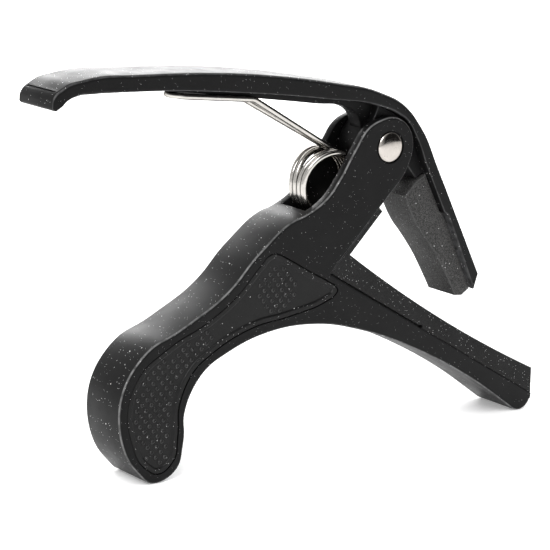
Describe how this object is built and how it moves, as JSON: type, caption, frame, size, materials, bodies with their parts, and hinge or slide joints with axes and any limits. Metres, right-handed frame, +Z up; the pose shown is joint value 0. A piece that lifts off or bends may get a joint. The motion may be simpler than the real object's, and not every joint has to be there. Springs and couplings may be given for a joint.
{
  "type": "guitar capo",
  "caption": "Spring-loaded trigger capo with a moulded body, curved squeeze lever, riveted hinge, double torsion spring and rubber clamping pads.",
  "frame": {"origin": "middle of the object's footprint on the surface it stands on, with the grip's lobe and the tip of the string bar touching that surface", "axes": "+X along the length from the grip end to the tip of the string bar, +Y through the thickness from the rivet's domed head to its clenched tail, +Z up from the resting surface"},
  "size_m": [0.1109, 0.0125, 0.0743],
  "materials": {
    "body": "satin black moulded plastic with a fine grain and a few dust specks",
    "grip_panel": "matt black textured inlay with raised dots",
    "lever": "satin black moulded plastic, slightly polished by handling on top",
    "string_pad": "matt black silicone rubber",
    "neck_pad": "matt dark grey speckled rubber",
    "rivet": "nickel-plated steel, domed and polished",
    "washer": "nickel-plated steel",
    "spring": "nickel-plated spring wire, drawn and bright"
  },
  "bodies": {
    "frame": {"main_body": "body", "grip_panel_front": "grip_panel", "grip_panel_back": "grip_panel", "string_pad": "string_pad", "pivot_rivet": "rivet", "rivet_washer": "washer", "spring_coil_front": "spring", "spring_coil_back": "spring"},
    "lever": {"lever": "lever", "neck_pad": "neck_pad"},
    "spring_arm": {"spring_arm": "spring"}
  },
  "joints": [
    {"name": "lever_pivot", "type": "hinge", "parent": "frame", "child": "lever", "pos_m": [0.0175, 0, 0.0564], "axis": [0, -1, 0], "range_deg": [0, 28], "stiffness_Nm_per_rad": 0.6, "springref_deg": -51.57},
    {"name": "spring_turn", "type": "hinge", "parent": "frame", "child": "spring_arm", "pos_m": [0.0064, 0, 0.04985], "axis": [0, -1, 0], "range_deg": [0, 43.5]}
  ],
  "couplings": [
    {"joint": "spring_turn", "follows": "lever_pivot", "ratio": 1.54}
  ]
}
